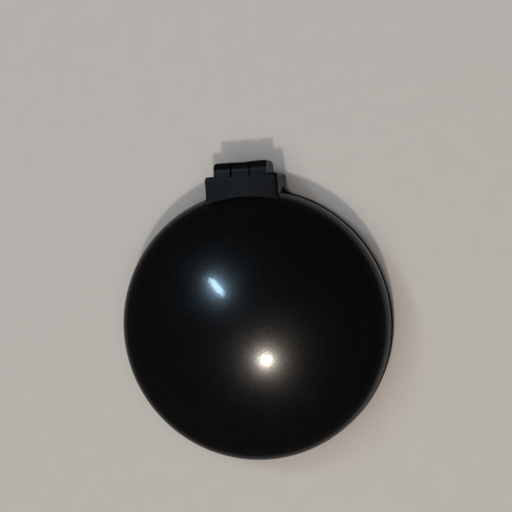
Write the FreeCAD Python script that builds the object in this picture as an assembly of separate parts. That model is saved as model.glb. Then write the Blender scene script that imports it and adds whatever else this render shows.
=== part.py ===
import FreeCAD, Part
import math
import os

# Folding hair brush with a mirror, shut. The flat half lies on its back and holds the mirror.
# The domed half swings open on the hinge, and as it does so a crank pin in the hinge pushes
# the brush pad out of the dome.
# Millimetres. The origin is the middle of the flat back, +Z goes up through the dome and
# +Y points to the hinge.

# Whole case
DISC_RADIUS = 35.0
MIRROR_OVERHANG = 0.3
MIRROR_HALF_HEIGHT = 7.5
PARTING_GAP = 0.2
SHELL_WALL = 1.6
RIM_EDGE_RADIUS = 0.4
OPEN_ANGLE = 145.0
PAD_TRAVEL = 9.0

# Clearances, the overrun of every cutting shape, and how near counts as the same place
RUNNING_GAP = 0.05
SEAT_GAP = 0.15
SIDE_GAP = 0.25
SWING_GAP = 0.3
SLIDE_GAP = 0.4
DOME_ROOM = 0.9
TIP_ROOM = 0.5
BRISTLE_FIT = 0.02
OVERRUN = 1.0
NEAR = 0.01

# Domed shell
RIM_WALL_HEIGHT = 2.5
DOME_RISE = 20.6
DOME_TURNS = (0.0, 26.0, 44.0, 65.0, 90.0)
DOME_BLEND_SHARES = (0.0, 0.59, 0.875, 1.0)
LEDGE_WIDTH = 1.4
LEDGE_HEIGHT = 1.5

# Neck, the same in plan on both halves
NECK_WIDTH = 18.8
NECK_LENGTH = 3.9
NECK_WALL = 1.4
NECK_SLOPE = 2.0
NECK_FLARE = 3.0
NECK_EDGE_RADIUS = 0.8
MIRROR_NECK_LIFT = 0.8

# Hinge
HINGE_REACH = 4.7
KNUCKLE_RADIUS = 2.6
KNUCKLE_ROW_WIDTH = 13.7
KNUCKLE_ROUND = 2.5
KNUCKLE_EDGE = 0.8
KNUCKLE_GROOVE = 0.5
MIDDLE_KNUCKLE_WIDTH = 4.8
HINGE_PIN_RADIUS = 1.0
ARM_END_RADIUS = 1.5

# Crank pin, and the tongue of the pad that it works in
LIFT_PIN_RADIUS = 0.7
TONGUE_THICKNESS = 1.6
TONGUE_DROP = 2.4
TONGUE_ROOT = 2.0
YOKE_BAR = 0.9

# Bezel that closes the dome and guides the pad
BEZEL_RECESS = 0.4
BEZEL_THICKNESS = 1.5
SLEEVE_WALL = 1.0

# Brush pad
PAD_DEPTH = 13.0
PLATE_THICKNESS = 1.6
LUG_WIDTH = 4.0
LUG_HEIGHT = 0.9
LUG_ANGLES = (210.0, 330.0)
RING_DEPTH = 3.5
RING_LIP_WIDTH = 2.5
RING_WALL = 0.8
CUSHION_WALL = 1.4
CUSHION_FLANGE = 1.4
CUSHION_SKIRT = 1.8
CUSHION_CROWN = 3.6
CUSHION_EDGE_RADIUS = 1.5

# Bristles
BRISTLE_RINGS = 3
BRISTLES_PER_STEP = 6
BRISTLE_MARGIN = 2.95
BRISTLE_LEAN = 22.0
BRISTLE_ROOT_RADIUS = 0.55
BRISTLE_TIP_RADIUS = 0.4
BRISTLE_HEAD_RADIUS = 1.0
BRISTLE_HEAD_HEIGHT = 0.6
TIP_BALL_RADIUS = 0.9

# Mirror half
BACK_EDGE_RADIUS = 2.2
FLOOR_THICKNESS = 1.5
ADHESIVE_THICKNESS = 0.5
ADHESIVE_MARGIN = 1.3
GLASS_THICKNESS = 1.8
FRAME_WIDTH = 5.45
FRAME_OVERLAP = 0.5
FRAME_RECESS = 0.4
FRAME_THICKNESS = 1.2

# Snap catch opposite the hinge
HOOK_WIDTH = 6.0
HOOK_THICKNESS = 1.2
HOOK_HEIGHT = 3.0
HOOK_BUMP = 0.3
HOOK_BUMP_HEIGHT = 0.8
HOOK_SETBACK = 0.7
RIDGE_DEPTH = 0.25
RIDGE_HEIGHT = 0.6
RIDGE_RISE = 0.6

# Places that follow from these sizes
RIGHT_ANGLE = math.pi / 2
RIM_Z = MIRROR_HALF_HEIGHT + PARTING_GAP
AXIS_Y = DISC_RADIUS + HINGE_REACH
AXIS_Z = MIRROR_HALF_HEIGHT + PARTING_GAP / 2
NECK_END_Y = DISC_RADIUS + NECK_LENGTH
BORE_RADIUS = DISC_RADIUS - SHELL_WALL
FLANGE_RADIUS = BORE_RADIUS - SEAT_GAP
RIM_WALL_Z = RIM_Z + RIM_WALL_HEIGHT

# The crank pin swings through the open angle, half of it above the axis and half below, while
# the pad moves in step with the angle. The slack is the most that the two motions differ.
HALF_SWING = math.radians(OPEN_ANGLE) / 2
CRANK = PAD_TRAVEL / (2 * math.sin(HALF_SWING))
SLACK_ANGLE = math.acos(math.sin(HALF_SWING) / HALF_SWING)
LIFT_SLACK = CRANK * (math.sin(SLACK_ANGLE) - math.cos(SLACK_ANGLE) * SLACK_ANGLE)
LIFT_PIN_Y = AXIS_Y - CRANK * math.cos(HALF_SWING)
LIFT_PIN_Z = AXIS_Z + PAD_TRAVEL / 2
YOKE_HALF_SLOT = LIFT_PIN_RADIUS + LIFT_SLACK + SEAT_GAP
YOKE_HALF_HEIGHT = YOKE_HALF_SLOT + YOKE_BAR
YOKE_START_Y = AXIS_Y - CRANK - LIFT_PIN_RADIUS - SEAT_GAP
YOKE_STOP_Y = LIFT_PIN_Y + LIFT_PIN_RADIUS + SEAT_GAP
TONGUE_END_Y = YOKE_STOP_Y + YOKE_BAR
TONGUE_SLOT_HALF = TONGUE_THICKNESS / 2 + SIDE_GAP
ROOF_Z = LIFT_PIN_Z + YOKE_HALF_HEIGHT + SIDE_GAP
NECK_END_Z = ROOF_Z + NECK_WALL
NECK_SIDE_X = NECK_WIDTH / 2 - NECK_WALL
NECK_WALL_Y = NECK_END_Y - NECK_WALL
MIRROR_RIM_RADIUS = DISC_RADIUS + MIRROR_OVERHANG
ARM_X = MIDDLE_KNUCKLE_WIDTH / 2
KNUCKLE_X = ARM_X + SIDE_GAP
COVER_X = KNUCKLE_X - KNUCKLE_GROOVE
KNUCKLE_END_X = KNUCKLE_ROW_WIDTH / 2
KNUCKLE_END_Y = AXIS_Y + KNUCKLE_RADIUS
HEEL_TOP_Z = ROOF_Z - SWING_GAP
ARM_SWEEP = math.hypot(AXIS_Y - LIFT_PIN_Y, HEEL_TOP_Z - AXIS_Z) + SLIDE_GAP

PLATE_FRONT_Z = RIM_Z + PAD_DEPTH
PLATE_BACK_Z = PLATE_FRONT_Z + PLATE_THICKNESS
BEZEL_FRONT_Z = RIM_Z + BEZEL_RECESS
BEZEL_BACK_Z = BEZEL_FRONT_Z + BEZEL_THICKNESS
LEDGE_TOP_Z = BEZEL_BACK_Z + LEDGE_HEIGHT
SLEEVE_TOP_Z = PLATE_FRONT_Z + PLATE_THICKNESS / 2
RING_FRONT_Z = PLATE_FRONT_Z - RING_DEPTH
CUSHION_FLANGE_Z = PLATE_FRONT_Z - CUSHION_FLANGE
LIP_BACK_Z = CUSHION_FLANGE_Z - RUNNING_GAP
CUSHION_EDGE_Z = CUSHION_FLANGE_Z - CUSHION_SKIRT
CUSHION_APEX_Z = CUSHION_EDGE_Z - CUSHION_CROWN
GLASS_BACK_Z = FLOOR_THICKNESS + ADHESIVE_THICKNESS
GLASS_FRONT_Z = GLASS_BACK_Z + GLASS_THICKNESS
MIRROR_OPENING_RADIUS = FLANGE_RADIUS - FRAME_WIDTH
GLASS_RADIUS = MIRROR_OPENING_RADIUS + FRAME_OVERLAP
FRAME_TOP_Z = MIRROR_HALF_HEIGHT - FRAME_RECESS
HOOK_RADIUS = BORE_RADIUS - HOOK_SETBACK
HOOK_TOP_Z = FRAME_TOP_Z + HOOK_HEIGHT


def tongue_corner(swing_share):
    """The tongue's lower end corner, from the axis, as the mirror half sees it during the swing."""
    angle = math.radians(OPEN_ANGLE) * swing_share
    along = TONGUE_END_Y - AXIS_Y
    up = PAD_TRAVEL / 2 - PAD_TRAVEL * swing_share - YOKE_HALF_HEIGHT
    return along * math.cos(angle) + up * math.sin(angle), up * math.cos(angle) - along * math.sin(angle)


SWING_STEPS = 90
TONGUE_PATH = [tongue_corner(step / SWING_STEPS) for step in range(SWING_STEPS + 1)]
TONGUE_DIP = SWING_GAP - min(up for along, up in TONGUE_PATH)
TONGUE_SWEEP = SWING_GAP - min(along for along, up in TONGUE_PATH if up < PARTING_GAP)


def dome_arcs():
    """Tangent arcs from the crown down to the rim wall. Each is the distance of its centre from the
    axis, the height of its centre, its radius, and the turns from upright at which it starts and ends.
    The radii blend from the crown's to the haunch's, which make up the dome's rise and its width."""
    turns = [math.radians(turn) for turn in DOME_TURNS]
    steps = list(zip(turns, turns[1:], DOME_BLEND_SHARES))
    crown_out = sum((math.sin(end) - math.sin(start)) * (1 - share) for start, end, share in steps)
    haunch_out = sum((math.sin(end) - math.sin(start)) * share for start, end, share in steps)
    crown_down = sum((math.cos(start) - math.cos(end)) * (1 - share) for start, end, share in steps)
    haunch_down = sum((math.cos(start) - math.cos(end)) * share for start, end, share in steps)
    determinant = crown_out * haunch_down - haunch_out * crown_down
    crown_radius = (DISC_RADIUS * haunch_down - DOME_RISE * haunch_out) / determinant
    haunch_radius = (DOME_RISE * crown_out - DISC_RADIUS * crown_down) / determinant
    arcs = []
    across = 0
    height = RIM_WALL_Z + DOME_RISE
    last_radius = 0
    for start, end, share in steps:
        radius = crown_radius + (haunch_radius - crown_radius) * share
        across -= (radius - last_radius) * math.sin(start)
        height -= (radius - last_radius) * math.cos(start)
        last_radius = radius
        arcs.append((across, height, radius, start, end))
    return arcs


DOME_ARCS = dome_arcs()


def dome_radius(z, inset):
    """Radius of the dome at a height, for the outer face or a face that lies inset from it."""
    for across, height, radius, start, end in DOME_ARCS:
        reach = radius - inset
        if z >= height + reach * math.cos(end):
            return across + math.sqrt(reach ** 2 - (z - height) ** 2)
    return DISC_RADIUS - inset


def neck_top(y):
    """Height of the neck's top, which slopes down to the end of the hinge."""
    return NECK_END_Z + (KNUCKLE_END_Y - y) * math.tan(math.radians(NECK_SLOPE))


PAD_RADIUS = dome_radius(PLATE_BACK_Z, SHELL_WALL) - DOME_ROOM
SLEEVE_RADIUS = PAD_RADIUS + SLIDE_GAP
SLEEVE_OUTER_RADIUS = SLEEVE_RADIUS + SLEEVE_WALL
LUG_RADIUS = SLEEVE_OUTER_RADIUS - SEAT_GAP
RING_OPENING_RADIUS = PAD_RADIUS - RING_LIP_WIDTH
CUSHION_RADIUS = RING_OPENING_RADIUS - SIDE_GAP
OUTER_RING_RADIUS = CUSHION_RADIUS - BRISTLE_MARGIN
TONGUE_KNEE_Y = dome_radius(ROOF_Z, SHELL_WALL) - DOME_ROOM
CROWN_BALL_RADIUS = (CUSHION_RADIUS ** 2 + CUSHION_CROWN ** 2) / (2 * CUSHION_CROWN)
CROWN_BALL_Z = CUSHION_APEX_Z + CROWN_BALL_RADIUS
BRISTLE_LENGTH = CUSHION_APEX_Z - GLASS_FRONT_Z - TIP_ROOM
BRISTLE_SHAFT = BRISTLE_LENGTH - TIP_BALL_RADIUS + CUSHION_WALL + SIDE_GAP


def point(x, y, z):
    return FreeCAD.Vector(x, y, z)


def line(start, end):
    return Part.LineSegment(start, end).toShape()


def arc(start, middle, end):
    return Part.Arc(start, middle, end).toShape()


def filled(edges):
    return Part.Face(Part.Wire(edges))


def polygon(points):
    return Part.Face(Part.makePolygon(points + points[:1]))


def turned(edges):
    """Solid of revolution about the Z axis."""
    return filled(edges).revolve(point(0, 0, 0), point(0, 0, 1), 360)


def disc(radius, low, high):
    return Part.makeCylinder(radius, high - low, point(0, 0, low))


def ring(outer, inner, low, high):
    return disc(outer, low, high).cut(disc(inner, low - OVERRUN, high + OVERRUN))


def block(x_range, y_range, z_range):
    corner = point(x_range[0], y_range[0], z_range[0])
    sizes = [high - low for low, high in (x_range, y_range, z_range)]
    return Part.makeBox(*sizes, corner)


def cross_rod(radius, x_low, x_high, y, z):
    return Part.makeCylinder(radius, x_high - x_low, point(x_low, y, z), point(1, 0, 0))


def slab(face, x_low, x_high):
    """A face drawn in the YZ plane, thickened from one X to another."""
    return face.translated(point(x_low, 0, 0)).extrude(point(x_high - x_low, 0, 0))


def mirrored(shape):
    return shape.mirror(point(0, 0, 0), point(1, 0, 0))


def both_sides(shape):
    return [shape, mirrored(shape)]


def joined(shape, others):
    return shape.fuse(others).removeSplitter()


def edges_where(solid, test):
    """The edges whose ends all pass a test."""
    return [edge for edge in solid.Edges if all(test(vertex.Point) for vertex in edge.Vertexes)]


def front_arc(outer, inner, low, high):
    """Piece of a ring opposite the hinge, as wide as the catch."""
    half = HOOK_WIDTH / 2
    return ring(outer, inner, low, high).common(block((-half, half), (-DISC_RADIUS, 0), (low, high)))


def front_notch(low, high):
    """Room for the catch in the pieces of the domed half."""
    half = HOOK_WIDTH / 2 + SWING_GAP
    inner_y = -(HOOK_RADIUS - HOOK_THICKNESS - SLIDE_GAP)
    return block((-half, half), (-BORE_RADIUS, inner_y), (low, high))


def save(name, shapes):
    solids = [solid for shape in shapes for solid in shape.Solids]
    whole = Part.makeCompound(solids)
    whole.exportStep("parts/" + name + ".step")
    print(name, len(solids), "of", len(shapes), "solids", round(whole.Volume, 1), "mm3", whole.isValid())


def dome_solid(inset, bottom):
    """Straight rim wall with the dome's arcs above it."""
    foot = point(0, 0, bottom)
    rim = point(DISC_RADIUS - inset, 0, bottom)
    curves = []
    for across, height, radius, start, end in reversed(DOME_ARCS):
        reach = radius - inset
        places = [point(across + reach * math.sin(turn), 0, height + reach * math.cos(turn))
                  for turn in (end, (start + end) / 2, start)]
        curves.append(arc(*places))
    shoulder = curves[0].Vertexes[0].Point
    crown = curves[-1].Vertexes[-1].Point
    return turned([line(foot, rim), line(rim, shoulder)] + curves + [line(crown, foot)])


def neck_solid(circle_radius, low, top, rounded):
    """Straight neck that flares into a round body. Heights are a function of Y: that of its top,
    and that of the face whose edges are rounded, as the neck's corners are."""
    side = NECK_WIDTH / 2
    flare_x = side + NECK_FLARE
    flare_y = math.sqrt((circle_radius + NECK_FLARE) ** 2 - flare_x ** 2)
    centre = point(flare_x, flare_y, low)
    corner = point(side, NECK_END_Y, low)
    straight_end = point(side, flare_y, low)
    touch_share = circle_radius / (circle_radius + NECK_FLARE)
    touch = point(flare_x * touch_share, flare_y * touch_share, low)
    inward = (straight_end - centre) + (touch - centre)
    middle = centre + inward.normalize() * NECK_FLARE

    def across(place):
        return point(-place.x, place.y, place.z)

    plan = filled([
        line(corner, straight_end),
        arc(straight_end, middle, touch),
        line(touch, across(touch)),
        arc(across(touch), across(middle), across(straight_end)),
        line(across(straight_end), across(corner)),
        line(across(corner), corner),
    ])
    side_view = polygon([
        point(0, 0, low),
        point(0, NECK_END_Y, low),
        point(0, NECK_END_Y, top(NECK_END_Y)),
        point(0, 0, top(0)),
    ])
    solid = plan.extrude(point(0, 0, top(0) - low)).common(slab(side_view, -flare_x, flare_x))
    edges = edges_where(solid, lambda place: place.y > NECK_END_Y - NEAR and place.x > 0)
    edges += edges_where(solid, lambda place: place.y > NECK_END_Y - NEAR and place.x < 0)
    for edge in edges_where(solid, lambda place: abs(place.z - rounded(place.y)) < NEAR):
        if max(vertex.Y for vertex in edge.Vertexes) > flare_y - NEAR:
            edges.append(edge)
    return solid.makeFillet(NECK_EDGE_RADIUS, edges)


def rounded_rim(solid, z, radius, edge_radius):
    """Rounds the circular edges at that height that have that radius or more."""
    edges = []
    for edge in edges_where(solid, lambda place: abs(place.z - z) < NEAR):
        if edge.Curve.TypeId == "Part::GeomCircle" and edge.Curve.Radius > radius - NEAR:
            edges.append(edge)
    return solid.makeFillet(edge_radius, edges)


def knuckle_side():
    """Side view of a knuckle: a barrel about the axis that carries on up to the top of the neck."""
    slope = math.radians(NECK_SLOPE)
    round_y = KNUCKLE_END_Y - KNUCKLE_ROUND
    round_z = neck_top(round_y) - KNUCKLE_ROUND / math.cos(slope)

    def on_round(angle):
        return point(0, round_y + KNUCKLE_ROUND * math.cos(angle), round_z + KNUCKLE_ROUND * math.sin(angle))

    corners = [
        point(0, AXIS_Y - KNUCKLE_RADIUS, AXIS_Z),
        point(0, NECK_WALL_Y, AXIS_Z),
        point(0, NECK_WALL_Y, neck_top(NECK_WALL_Y)),
        on_round(RIGHT_ANGLE - slope),
        on_round(0),
        point(0, KNUCKLE_END_Y, AXIS_Z),
    ]
    return filled([
        line(corners[0], corners[1]),
        line(corners[1], corners[2]),
        line(corners[2], corners[3]),
        arc(corners[3], on_round((RIGHT_ANGLE - slope) / 2), corners[4]),
        line(corners[4], corners[5]),
        arc(corners[5], point(0, AXIS_Y, AXIS_Z - KNUCKLE_RADIUS), corners[0]),
    ])


def brush_knuckle():
    """Outer knuckle on +X."""
    plan = block((0, KNUCKLE_END_X), (0, KNUCKLE_END_Y), (0, neck_top(0)))
    corner = edges_where(plan, lambda place: place.x > NEAR and place.y > NEAR)
    return slab(knuckle_side(), KNUCKLE_X, KNUCKLE_END_X).common(plan.makeFillet(KNUCKLE_EDGE, corner))


def knuckle_cover():
    """Lip of the neck's roof over the middle knuckle, which hides the slot that the tongue swings in."""
    room = block((-COVER_X, COVER_X), (NECK_WALL_Y, KNUCKLE_END_Y), (ROOF_Z, neck_top(NECK_WALL_Y)))
    return slab(knuckle_side(), -COVER_X, COVER_X).common(room)


def make_brush_shell():
    outer = rounded_rim(dome_solid(0, RIM_Z), RIM_Z, DISC_RADIUS, RIM_EDGE_RADIUS)
    neck_root_z = neck_top(DISC_RADIUS - 2 * NECK_FLARE)
    neck = neck_solid(dome_radius(neck_root_z, 0), RIM_Z, neck_top, neck_top)
    ledge = ring(BORE_RADIUS + SHELL_WALL / 2, BORE_RADIUS - LEDGE_WIDTH, BEZEL_BACK_Z, LEDGE_TOP_Z)
    ridge_low = RIM_Z + RIDGE_RISE
    ridge = front_arc(BORE_RADIUS + SHELL_WALL / 2, BORE_RADIUS - RIDGE_DEPTH,
                      ridge_low, ridge_low + RIDGE_HEIGHT)
    cavity_y = TONGUE_KNEE_Y - DOME_ROOM
    cavity = block((-NECK_SIDE_X, NECK_SIDE_X), (cavity_y, NECK_WALL_Y), (RIM_Z - OVERRUN, ROOF_Z))
    doorway = block((-KNUCKLE_X, KNUCKLE_X), (cavity_y, NECK_END_Y + OVERRUN), (RIM_Z - OVERRUN, ROOF_Z))
    hollow = dome_solid(SHELL_WALL, RIM_Z - OVERRUN)
    shell = outer.fuse(neck).cut(hollow).fuse(ledge)
    shell = shell.cut([cavity, front_notch(BEZEL_BACK_Z - OVERRUN, LEDGE_TOP_Z + OVERRUN)])
    shell = shell.fuse([ridge, knuckle_cover()] + both_sides(brush_knuckle())).cut(doorway)
    pin_bore = cross_rod(HINGE_PIN_RADIUS, -KNUCKLE_ROW_WIDTH, KNUCKLE_ROW_WIDTH, AXIS_Y, AXIS_Z)
    return shell.cut(pin_bore).removeSplitter()


def make_hinge_pin():
    """Stub pin of the +X side, fast in the outer knuckle and turning in the arm."""
    return cross_rod(HINGE_PIN_RADIUS, TONGUE_SLOT_HALF + SEAT_GAP, KNUCKLE_END_X, AXIS_Y, AXIS_Z)


def make_guide_bezel():
    tab_x = NECK_SIDE_X - SEAT_GAP
    tab = block((-tab_x, tab_x), (0, NECK_WALL_Y - SEAT_GAP), (BEZEL_FRONT_Z, BEZEL_BACK_Z))
    body = disc(FLANGE_RADIUS, BEZEL_FRONT_Z, BEZEL_BACK_Z).fuse(
        [tab, disc(SLEEVE_OUTER_RADIUS, BEZEL_FRONT_Z, SLEEVE_TOP_Z)])
    low = BEZEL_FRONT_Z - OVERRUN
    high = SLEEVE_TOP_Z + OVERRUN
    arm_way = block((-KNUCKLE_X, KNUCKLE_X), (AXIS_Y - ARM_SWEEP, AXIS_Y), (low, high))
    tongue_way = block((-TONGUE_SLOT_HALF, TONGUE_SLOT_HALF), (0, AXIS_Y), (low, high))
    cuts = [disc(SLEEVE_RADIUS, low, high), arm_way, tongue_way, front_notch(low, high)]
    half = LUG_WIDTH / 2 + SIDE_GAP
    lug_low = PLATE_FRONT_Z - PAD_TRAVEL - SEAT_GAP
    for angle in LUG_ANGLES:
        way = block((0, SLEEVE_OUTER_RADIUS + SIDE_GAP), (-half, half), (lug_low, high))
        cuts.append(way.rotated(point(0, 0, 0), point(0, 0, 1), angle))
    return body.cut(cuts).removeSplitter()


def tongue_side():
    """Side view of the tongue, which reaches from the plate's edge down into the neck."""
    yoke_top = LIFT_PIN_Z + YOKE_HALF_HEIGHT
    yoke_bottom = LIFT_PIN_Z - YOKE_HALF_HEIGHT
    outside_ring = PAD_RADIUS + SEAT_GAP
    return polygon([
        point(0, PAD_RADIUS - TONGUE_ROOT, PLATE_FRONT_Z),
        point(0, PAD_RADIUS - TONGUE_ROOT, PLATE_BACK_Z),
        point(0, PAD_RADIUS, PLATE_BACK_Z),
        point(0, TONGUE_KNEE_Y, yoke_top),
        point(0, TONGUE_END_Y, yoke_top),
        point(0, TONGUE_END_Y, yoke_bottom),
        point(0, TONGUE_KNEE_Y + YOKE_BAR, yoke_bottom),
        point(0, outside_ring, PLATE_FRONT_Z - TONGUE_DROP),
        point(0, outside_ring, PLATE_FRONT_Z),
    ])


def make_lift_plate():
    half = TONGUE_THICKNESS / 2
    solids = [slab(tongue_side(), -half, half)]
    lug_side = (-LUG_WIDTH / 2, LUG_WIDTH / 2)
    for angle in LUG_ANGLES:
        lug = block((0, LUG_RADIUS), lug_side, (PLATE_FRONT_Z, PLATE_FRONT_Z + LUG_HEIGHT))
        solids.append(lug.rotated(point(0, 0, 0), point(0, 0, 1), angle))
    plate = joined(disc(PAD_RADIUS, PLATE_FRONT_Z, PLATE_BACK_Z), solids)
    slot_z = (LIFT_PIN_Z - YOKE_HALF_SLOT, LIFT_PIN_Z + YOKE_HALF_SLOT)
    slot = block((-TONGUE_THICKNESS, TONGUE_THICKNESS), (YOKE_START_Y, YOKE_STOP_Y), slot_z)
    return plate.cut(slot)


def make_cushion_ring():
    body = disc(PAD_RADIUS, RING_FRONT_Z, PLATE_FRONT_Z)
    opening = disc(RING_OPENING_RADIUS, RING_FRONT_Z - OVERRUN, PLATE_FRONT_Z)
    seat = disc(PAD_RADIUS - RING_WALL, LIP_BACK_Z, PLATE_FRONT_Z + OVERRUN)
    solid = body.cut([opening, seat])
    return rounded_rim(solid, RING_FRONT_Z, RING_OPENING_RADIUS, RIM_EDGE_RADIUS)


def crown_depth(radius):
    """Height of the cushion's outer face at a distance from its middle."""
    return CROWN_BALL_Z - math.sqrt(CROWN_BALL_RADIUS ** 2 - radius ** 2)


def bristle_places():
    """For each ring, a list of roots on the cushion's outer face and of directions to the tips."""
    rings = [[(0, 0)]]
    for step in range(1, BRISTLE_RINGS + 1):
        count = BRISTLES_PER_STEP * step
        radius = OUTER_RING_RADIUS * step / BRISTLE_RINGS
        rings.append([(radius, 2 * math.pi * index / count) for index in range(count)])
    places = []
    for spots in rings:
        found = []
        for radius, turn in spots:
            lean = math.radians(BRISTLE_LEAN) * radius / OUTER_RING_RADIUS
            outward = point(math.cos(turn), math.sin(turn), 0)
            root = outward * radius + point(0, 0, crown_depth(radius))
            direction = outward * math.sin(lean) - point(0, 0, math.cos(lean))
            found.append((root, direction))
        places.append(found)
    return places


def make_bristle(root, direction):
    """Tapered nylon pin with a flat head behind the cushion's skin."""
    head_start = root - direction * (CUSHION_WALL + SIDE_GAP + BRISTLE_HEAD_HEIGHT)
    shaft_start = head_start + direction * BRISTLE_HEAD_HEIGHT
    head = Part.makeCylinder(BRISTLE_HEAD_RADIUS, BRISTLE_HEAD_HEIGHT, head_start, direction)
    shaft = Part.makeCone(BRISTLE_ROOT_RADIUS, BRISTLE_TIP_RADIUS, BRISTLE_SHAFT, shaft_start, direction)
    return head.fuse(shaft).removeSplitter()


def make_tip(root, direction):
    """Round bead on a bristle's end, with the blind hole that the bristle fills."""
    centre = root + direction * (BRISTLE_LENGTH - TIP_BALL_RADIUS)
    ball = Part.makeSphere(TIP_BALL_RADIUS, centre)
    taper_share = TIP_BALL_RADIUS / BRISTLE_SHAFT
    hole_radius = BRISTLE_TIP_RADIUS + (BRISTLE_ROOT_RADIUS - BRISTLE_TIP_RADIUS) * taper_share + BRISTLE_FIT
    hole_length = 2 * TIP_BALL_RADIUS
    hole = Part.makeCylinder(hole_radius, hole_length, centre - direction * hole_length, direction)
    return ball.cut(hole)


def make_cushion(places):
    inner_radius = CUSHION_RADIUS - CUSHION_WALL
    flange_radius = PAD_RADIUS - RING_WALL - SEAT_GAP
    inner_ball = CROWN_BALL_RADIUS - CUSHION_WALL

    def inner_depth(radius):
        return CROWN_BALL_Z - math.sqrt(inner_ball ** 2 - radius ** 2)

    apex = point(0, 0, CUSHION_APEX_Z)
    inner_apex = point(0, 0, CUSHION_APEX_Z + CUSHION_WALL)
    edge = point(CUSHION_RADIUS, 0, CUSHION_EDGE_Z)
    outer_middle = point(CUSHION_RADIUS / 2, 0, crown_depth(CUSHION_RADIUS / 2))
    inner_edge = point(inner_radius, 0, inner_depth(inner_radius))
    inner_middle = point(inner_radius / 2, 0, inner_depth(inner_radius / 2))
    corners = [
        inner_edge,
        point(inner_radius, 0, PLATE_FRONT_Z),
        point(flange_radius, 0, PLATE_FRONT_Z),
        point(flange_radius, 0, CUSHION_FLANGE_Z),
        point(CUSHION_RADIUS, 0, CUSHION_FLANGE_Z),
        edge,
    ]
    edges = [line(start, end) for start, end in zip(corners, corners[1:])]
    edges += [
        arc(edge, outer_middle, apex),
        line(apex, inner_apex),
        arc(inner_apex, inner_middle, inner_edge),
    ]
    body = rounded_rim(turned(edges), CUSHION_EDGE_Z, CUSHION_RADIUS, CUSHION_EDGE_RADIUS)
    hole_radius = BRISTLE_ROOT_RADIUS + BRISTLE_FIT
    depth = CUSHION_WALL + OVERRUN
    holes = []
    for found in places:
        for root, direction in found:
            start = root - direction * depth
            holes.append(Part.makeCylinder(hole_radius, depth + OVERRUN, start, direction))
    return body.cut(holes)


def arm_side():
    """Side view of the mirror half's hinge arms: barrel, crank finger, heel and root."""
    barrel = Part.Face(Part.Wire(Part.makeCircle(KNUCKLE_RADIUS, point(0, AXIS_Y, AXIS_Z), point(1, 0, 0))))
    finger_end = Part.Face(Part.Wire(Part.makeCircle(
        ARM_END_RADIUS, point(0, LIFT_PIN_Y, LIFT_PIN_Z), point(1, 0, 0))))
    across = point(0, math.sin(HALF_SWING), math.cos(HALF_SWING))
    axis = point(0, AXIS_Y, AXIS_Z)
    crank = point(0, LIFT_PIN_Y, LIFT_PIN_Z)
    finger = polygon([
        axis - across * KNUCKLE_RADIUS,
        crank - across * ARM_END_RADIUS,
        crank + across * ARM_END_RADIUS,
        axis + across * KNUCKLE_RADIUS,
    ])
    round_y = KNUCKLE_END_Y - KNUCKLE_ROUND
    round_z = HEEL_TOP_Z - KNUCKLE_ROUND
    reach = KNUCKLE_ROUND * math.sin(RIGHT_ANGLE / 2)
    corners = [
        point(0, KNUCKLE_END_Y, round_z),
        point(0, KNUCKLE_END_Y, AXIS_Z),
        point(0, LIFT_PIN_Y, AXIS_Z),
        point(0, LIFT_PIN_Y, HEEL_TOP_Z),
        point(0, round_y, HEEL_TOP_Z),
    ]
    edges = [line(start, end) for start, end in zip(corners, corners[1:])]
    edges.append(arc(corners[-1], point(0, round_y + reach, round_z + reach), corners[0]))
    heel = filled(edges)
    root_y = AXIS_Y - TONGUE_SWEEP - OVERRUN
    root = polygon([
        point(0, root_y, AXIS_Z - KNUCKLE_RADIUS),
        point(0, root_y, MIRROR_HALF_HEIGHT),
        point(0, AXIS_Y, MIRROR_HALF_HEIGHT),
        point(0, AXIS_Y, AXIS_Z - KNUCKLE_RADIUS),
    ])
    return [barrel, finger_end, finger, heel, root]


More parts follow.
